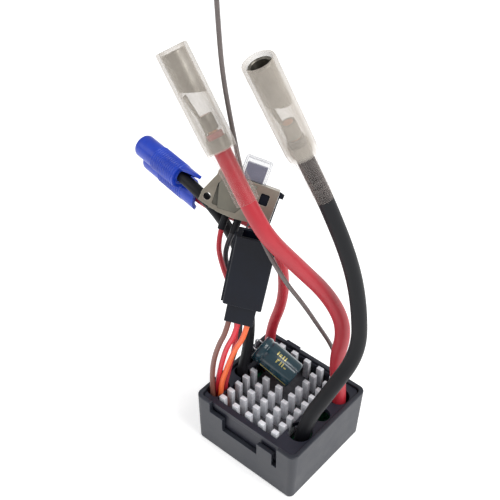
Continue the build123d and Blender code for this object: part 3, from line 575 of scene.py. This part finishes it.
# each wall is cut through in (radius, height) points
STRIP_SIDE = 180
barrel_wall = [(2.2, 9.2), (3.0, 9.2), (3.0, 20.5), (2.8, 20.75), (2.4, 20.75), (2.2, 20.5)]
barrel_foot, foot_slant = (0, 0, 10.6), (-0.42, 0, -1)
neck_wall = [(2.35, 10.6), (1.4, 4.4), (1.75, 4.2), (2.75, 10.4)]
crimp_wall = [(1.3, 0.6), (1.8, 0.6), (1.85, 0.9), (1.85, 4.3), (1.8, 4.6), (1.3, 4.6)]
step_wall = [(1.55, 0.9), (2.25, -1.4), (2.7, -1.6), (1.9, 0.7)]
grip_wall = [(2.2, -4.4), (2.65, -4.4), (2.7, -4.2), (2.7, -1.6), (2.65, -1.4), (2.2, -1.4)]
for colour, place in motor_ends.items():
    barrel = bmesh.new()
    rolled(barrel, barrel_wall, STRIP_SIDE, 343, 44)
    cut = barrel.verts[:] + barrel.edges[:] + barrel.faces[:]
    bmesh.ops.bisect_plane(barrel, geom=cut, plane_co=barrel_foot, plane_no=foot_slant,
                           clear_outer=True)
    bmesh.ops.holes_fill(barrel, edges=[edge for edge in barrel.edges if edge.is_boundary])
    for wall, sweep, steps in ((neck_wall, 74, 8), (crimp_wall, 352, 32), (step_wall, 62, 6),
                               (grip_wall, 330, 40)):
        rolled(barrel, wall, STRIP_SIDE, sweep, steps)
    make_piece(f"bullet_terminal_{colour}", barrel, place, [nickel],
                                   [f"motor_terminal_{colour}"], sharp_angle=35)

# %% [markdown]
# ## The capacitor
# A capacitor is an aluminium can in a shrunk film. The film is rounded over both ends,
# and a groove is rolled into it near the leads to grip the rubber bung. Its print is
# replaced with plain gold bars, laid on as thin curved patches, and a long gold band
# along the can is a painted highlight.

# %% Capacitor
can_place = frame_along((-12.0, 5.6, 23.7), (0.904, 0.126, -0.409), (0.126, -0.904, 0.0))
film = bmesh.new()
spun(film, [
    (3.5, -1.0), (3.9, -0.98), (4.12, -0.86), (4.22, -0.6), (4.22, 0.7), (4.16, 0.98),
    (4.0, 1.22), (3.93, 1.45), (4.0, 1.68), (4.16, 1.92), (4.24, 2.2), (4.26, 6.0),
    (4.26, 11.7), (4.23, 12.1), (4.12, 12.4), (3.85, 12.6), (3.2, 12.63), (3.15, 12.56),
], closed=False)
sleeve_film = make_finish("sleeve_film", tint(20, 52, 64), tint(30, 66, 78), patch=220.0,
                          gloss=(0.16, 0.26), grain=1500.0, depth=0.000004,
                          Coat_Weight=0.4, Coat_Roughness=0.12)
make_piece("capacitor_film", film, can_place, [sleeve_film],
           ["capacitor_sleeve"], sharp_angle=60)

# %% The can under the film, with its scored end
can = bmesh.new()
spun(can, [
    (0.0, -0.6), (3.2, -0.6), (3.3, -0.85), (3.5, -0.95), (3.8, -0.9), (4.0, -0.75),
    (4.05, -0.5), (4.05, 0.7), (3.9, 1.1), (3.8, 1.45), (3.9, 1.8), (4.05, 2.2),
    (4.05, 12.0), (3.9, 12.35), (3.5, 12.52), (2.9, 12.5), (2.75, 12.4), (0.0, 12.4),
], closed=False)
make_piece("capacitor_shell", can, can_place, [satin_can], ["capacitor_can"],
           sharp_angle=60)

# %% Plain gold bars where the print would be, and a painted highlight band along the can
gold_print_and_highlight = make_finish("gold_print_and_highlight", tint(206, 196, 128), tint(190, 178, 104), patch=900.0,
                       gloss=(0.25, 0.4), Metallic=0.4)
print_and_highlight = bmesh.new()
PRINT_RADIUS = 4.275


def curved_bar(shape, low, high, start, sweep):
    """A thin patch on the can, from low to high along it, over an angle in degrees."""
    ends = [shape.verts.new((PRINT_RADIUS, 0.0, height)) for height in (low, high)]
    edge = shape.edges.new(ends)
    turn = Matrix.Rotation(math.radians(start), 3, "Z")
    bmesh.ops.rotate(shape, cent=(0, 0, 0), matrix=turn, verts=ends)
    bmesh.ops.spin(shape, geom=ends + [edge], axis=(0, 0, 1), cent=(0, 0, 0),
                   angle=math.radians(sweep), steps=max(2, round(abs(sweep) / 5)))


FIRST_ROW, SECOND_ROW = -92, -64
for low, high, start, sweep in (
        (4.4, 4.8, FIRST_ROW, 18), (5.2, 5.9, FIRST_ROW + 4, 5), (5.2, 5.9, FIRST_ROW + 12, 5),
        (6.4, 6.8, FIRST_ROW, 18), (7.2, 7.6, FIRST_ROW, 18),
        (5.4, 6.2, SECOND_ROW, 5), (5.4, 5.8, SECOND_ROW + 6, 11), (6.7, 7.1, SECOND_ROW, 17),
        (7.5, 7.9, SECOND_ROW, 17), (8.3, 9.1, SECOND_ROW + 10, 5)):
    curved_bar(print_and_highlight, low, high, start, sweep)
# A long thin band along the can, in the same gold, is a painted highlight.
HIGHLIGHT_BAND_START, HIGHLIGHT_BAND_SWEEP = 5, 7
curved_bar(print_and_highlight, 2.3, 12.0, HIGHLIGHT_BAND_START, HIGHLIGHT_BAND_SWEEP)
make_piece("capacitor_print_and_highlight", print_and_highlight, can_place, [gold_print_and_highlight], sharp_angle=60)

# %% [markdown]
# ## The heatsink
# Thirty-six pins are sawn out of one block of aluminium, so they nearly share a height
# but no two corners are quite alike. A grid of blocks, with their edges bevelled, catches
# light along every corner; a seeded random nudge keeps them from looking stamped.

# %% Heatsink
PIN_PITCH_X, PIN_PITCH_Y = 4.825, 3.375
PIN_HALF_X, PIN_HALF_Y, PIN_TOP = 1.0, 0.7, 18.9
COLUMNS, ROWS, BED_COLUMNS, BED_ROWS = 5, 9, 3, range(5, 8)
SINK_X, SINK_Y, SINK_FOOT, SINK_TOP = -1.55, 0.9, 10.0, 12.0
SINK_HALF_X, SINK_HALF_Y = 10.65, 14.2
sink = bmesh.new()
saw = random.Random(7)
for column in range(COLUMNS):
    for row in range(ROWS):
        if column < BED_COLUMNS and row in BED_ROWS:
            continue
        x = SINK_X + (column - COLUMNS // 2) * PIN_PITCH_X
        y = SINK_Y + (row - ROWS // 2) * PIN_PITCH_Y
        half_x = PIN_HALF_X - saw.uniform(0, 0.08)
        half_y = PIN_HALF_Y - saw.uniform(0, 0.06)
        block(sink, (x - half_x, x + half_x), (y - half_y, y + half_y),
              (SINK_TOP - 0.2, PIN_TOP - saw.uniform(0, 0.12)))
round_edges(sink, 0.12, segments=2)
make_piece("heatsink_pins", sink, Matrix.Scale(MM, 4), [bright_aluminium],
           ["heatsink"], sharp_angle=50)

# %% The block that the pins stand on
sink_base = bmesh.new()
block(sink_base, (SINK_X - SINK_HALF_X, SINK_X + SINK_HALF_X),
      (SINK_Y - SINK_HALF_Y, SINK_Y + SINK_HALF_Y), (SINK_FOOT, SINK_TOP))
round_edges(sink_base, 0.2)
shadowed_aluminium = make_finish("shadowed_aluminium", tint(96, 97, 102), tint(72, 73, 78),
                                 patch=500.0, contrast=2.6, gloss=(0.45, 0.6), grain=900.0,
                                 depth=0.00003, lines=(1.0, 0.1, 1.0), Metallic=0.5)
make_piece("heatsink_base", sink_base, Matrix.Scale(MM, 4), [shadowed_aluminium])

# %% [markdown]
# ## The battery connector
# Two tubes joined by a web, moulded in strong blue plastic. Fine grip rings run round
# each tube, the front mouth is smooth and rounded, and a wedge-shaped guard runs on
# past each rear opening beside the lead.

# %% Battery connector
POLE_PITCH, POLE_RADIUS, RING_RADIUS, RING_COUNT, RING_PITCH = 6.2, 3.28, 3.46, 12, 0.78
pole_side = (0.034, 0.388, -0.921)
black_pole = end_frame(battery_black_route, pole_side)
red_pole = end_frame(battery_red_route, pole_side)
pole_profile = [(1.68, -4.0), (1.68, 0.1), (1.95, 0.2), (1.95, 10.6), (2.4, 10.8), (2.6, 13.2),
                (2.85, 13.3), (3.1, 13.22), (3.25, 12.9), (POLE_RADIUS, 12.3), (POLE_RADIUS, 6.4)]
for ring in range(RING_COUNT):
    foot = 6.0 - ring * RING_PITCH
    pole_profile += [(POLE_RADIUS, foot), (RING_RADIUS, foot - 0.14),
                     (RING_RADIUS, foot - 0.42), (POLE_RADIUS, foot - 0.56)]
pole_profile += [(3.42, -3.55), (3.42, -3.9), (3.3, -4.0), (2.3, -4.0), (1.9, -3.7)]
housing = bmesh.new()
for pole in (black_pole, red_pole):
    tube = bmesh.new()
    spun(tube, pole_profile, steps=40)
    bmesh.ops.transform(tube, matrix=black_pole.inverted() @ pole, verts=tube.verts[:])
    add_shape(housing, tube)
web = bmesh.new()
block(web, (2.6, 3.6), (-1.8, 1.8), (-3.9, 13.0))
bmesh.ops.recalc_face_normals(web, faces=web.faces[:])
round_edges(web, 0.18, segments=2)
add_shape(housing, web)

# %% A guard beyond each rear opening, longest in its middle
GUARD_ROOT, GUARD_TIP, GUARD_RISE, GUARD_HALF_STEPS = -3.8, -9.6, 5.2, 8
for middle, turn, sweep, bluntness in ((0.0, 250, 120, 1.2), (POLE_PITCH, 105, 150, 5.0)):
    guard = bmesh.new()
    sections = []
    for step in range(2 * GUARD_HALF_STEPS + 1):
        share = step / GUARD_HALF_STEPS - 1
        angle = math.radians(turn + share * sweep / 2)
        end = GUARD_TIP + GUARD_RISE * abs(share) ** bluntness
        sections.append([
            guard.verts.new((middle + radius * math.cos(angle), radius * math.sin(angle), height))
            for radius, height in ((2.35, GUARD_ROOT), (2.35, end), (3.3, end), (3.3, GUARD_ROOT))])
    for one, other in zip(sections, sections[1:]):
        for corner in range(4):
            beyond = (corner + 1) % 4
            guard.faces.new((one[corner], one[beyond], other[beyond], other[corner]))
    guard.faces.new(sections[0])
    guard.faces.new(sections[-1])
    bmesh.ops.recalc_face_normals(guard, faces=guard.faces[:])
    add_shape(housing, guard)
blue_connector = make_piece("blue_connector", housing, black_pole, [blue_housing],
                            ["battery_connector"])

# %% [markdown]
# ## The switch
# The frame is folded from thin steel sheet over a laminate base. The solid model has
# its plate, so here it only needs a duller panel on the plate, a dark hook at one edge
# with dark sheets of painted shade inside two windows, shrunk tubes on two lugs, and the
# boot over the knob.

# %% Switch panel
switch_centre = Vector((-16.8, 0.1, 81.8))
switch_along, switch_up, switch_out = (
    (0.86588, 0.438939, -0.239967), (-0.066931, 0.577031, 0.813975),
    (0.495754, -0.688744, 0.529018))
switch_turn = Matrix((switch_along, switch_up, switch_out)).transposed().to_4x4()
switch_place = Matrix.Translation(switch_centre * MM) @ switch_turn @ Matrix.Scale(MM, 4)
# The panel's darker edge colour is painted shade where the panel sits down in the frame.
olive_panel = make_finish("olive_panel", tint(112, 110, 100), tint(128, 125, 113), patch=300.0,
                          gloss=(0.45, 0.6), edge=tint(70, 70, 66), edge_radius=0.0003,
                          Metallic=0.3)
panel = bmesh.new()
prism(panel, [(-5.3, 3.9), (-6.2, 1.2), (-4.6, -4.9), (0.2, -4.6), (0.9, -3.4), (3.4, -0.6),
              (3.4, 3.9)], -0.05, 0.12)
bmesh.ops.recalc_face_normals(panel, faces=panel.faces[:])
round_edges(panel, 0.08)
make_piece("switch_panel", panel, switch_place, [olive_panel])

# %% The hook, and dark sheets behind two windows as painted shade
hook = bmesh.new()
prism(hook, [(9.35, -4.6), (9.7, -4.6), (9.7, 2.9), (10.6, 2.9), (10.7, 4.1), (9.35, 4.5)],
      -1.4, 0.25)
# Two thin dark sheets behind the windows are painted shade.
block(hook, (4.85, 7.35), (-0.4, 2.75), (-0.62, -0.35))
block(hook, (-6.45, -4.35), (0.3, 1.7), (-0.62, -0.35))
bmesh.ops.recalc_face_normals(hook, faces=hook.faces[:])
round_edges(hook, 0.1)
make_piece("switch_hook_and_window_shade", hook, switch_place, [black_housing])

# %% Shrunk tubes over the two soldered lugs
TUBE_REACH = 4.2
for name, x in (("red", -1.9), ("black", 1.5)):
    shrink = bmesh.new()
    spun(shrink, [(0.75, 0.0), (0.95, 0.1), (1.02, 0.6), (1.02, TUBE_REACH - 0.6),
                  (0.92, TUBE_REACH), (0.72, TUBE_REACH + 0.05)], steps=24)
    lug_place = switch_place @ Matrix.Translation((x, -6.0, -2.75)) @ Matrix.Rotation(
        math.radians(90), 4, "X")
    make_piece(f"lug_tube_{name}", shrink, lug_place, [black_silicone])

# %% The boot over the knob, a rounded box with one open end
boot = bmesh.new()
BOOT_FOOT = 4.8
block(boot, (-1.95, 5.25), (BOOT_FOOT, 10.7), (-5.2, -0.3))
under = [face for face in boot.faces if face.calc_center_median().y < BOOT_FOOT + 0.1]
bmesh.ops.delete(boot, geom=under, context="FACES_ONLY")
round_edges(boot, 0.7, segments=4)
bmesh.ops.recalc_face_normals(boot, faces=boot.faces[:])
bmesh.ops.solidify(boot, geom=boot.faces[:], thickness=0.5)
make_piece("clear_boot", boot, switch_place, [boot_silicone], ["switch_boot"],
           body=SLIDER)

# %% [markdown]
# ## Finishes for the solid model's own nodes
# Every node that still shows gets its finish by name. Assigning to the material slots
# changes nothing of its shape.

# %% Dress the CAD nodes
dress = {
    "bottom_case": case_plastic, "top_cover": cover_plastic, "thermal_pad": pad_rubber,
    "circuit_board": board_mask, "mosfets": chip_epoxy, "microcontroller": chip_epoxy,
    "radio_chip": chip_epoxy, "crystal": tinned, "voltage_regulator": chip_epoxy,
    "small_components": chip_epoxy, "solder_joints": tinned, "capacitor_leads": tinned,
    "capacitor_bung": bung_rubber, "capacitor_roll": winding_paper,
    "motor_strands_red": copper_strand, "motor_strands_black": copper_strand,
    "battery_contacts": gold_plate, "servo_plug": black_housing, "servo_shroud": black_housing,
    "servo_pins": gold_plate, "switch_frame": steel_sheet, "switch_base": phenolic,
    "switch_terminals": tinned, "switch_slider": gold_plate, "switch_knob": knob_plastic,
}
for node, finish in dress.items():
    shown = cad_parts[node]
    shown.data.materials.clear()
    shown.data.materials.append(finish)
print("dressed", len(dress), "nodes")

# %% [markdown]
# ## What each cord is
# The ten cords above are laid with a round section of their own thickness,
# each in place of a node of the solid model.

print("ten cords laid")

# %% [markdown]
# ## Floor and light
# A pale floor and a big soft sky make the studio. One broad lamp from the right gives
# the plastic its gradient, and a smaller one from the left picks out the metal.

# %% Floor
floor_shape = bmesh.new()
bmesh.ops.create_grid(floor_shape, x_segments=1, y_segments=1, size=3.0)
floor_mesh = bpy.data.meshes.new("floor")
floor_shape.to_mesh(floor_mesh)
floor_shape.free()
floor = bpy.data.objects.new("floor", floor_mesh)
floor.location.z = -0.0001
bpy.context.scene.collection.objects.link(floor)
floor_mesh.materials.append(make_finish("pale_floor", tint(250, 250, 250), tint(246, 246, 246),
                                        patch=20.0, gloss=(0.7, 0.8), grain=400.0,
                                        depth=0.00001, Emission_Strength=0.38,
                                        Emission_Color=(1.0, 1.0, 1.0, 1.0)))
print("floor laid")


# %% Lamps and sky
def soft_lamp(name, place, size, watts, aim=(0.0, 0.0, 0.05)):
    """A square lamp that looks at a point."""
    data = bpy.data.lights.new(name, "AREA")
    data.shape = "SQUARE"
    data.size = size
    data.energy = watts
    lamp = bpy.data.objects.new(name, data)
    lamp.location = place
    lamp.rotation_euler = (Vector(aim) - Vector(place)).to_track_quat("-Z", "Y").to_euler()
    bpy.context.scene.collection.objects.link(lamp)
    print(name, watts, "W")


soft_lamp("key_lamp", (0.55, 0.10, 0.75), 0.5, 6.0)
soft_lamp("fill_lamp", (-0.45, -0.55, 0.60), 0.6, 2.2)
sky = bpy.data.worlds.new("sky")
sky.use_nodes = True
sky.node_tree.nodes["Background"].inputs["Color"].default_value = (1.0, 1.0, 1.0, 1.0)
sky.node_tree.nodes["Background"].inputs["Strength"].default_value = 0.5
bpy.context.scene.world = sky
print("sky set")
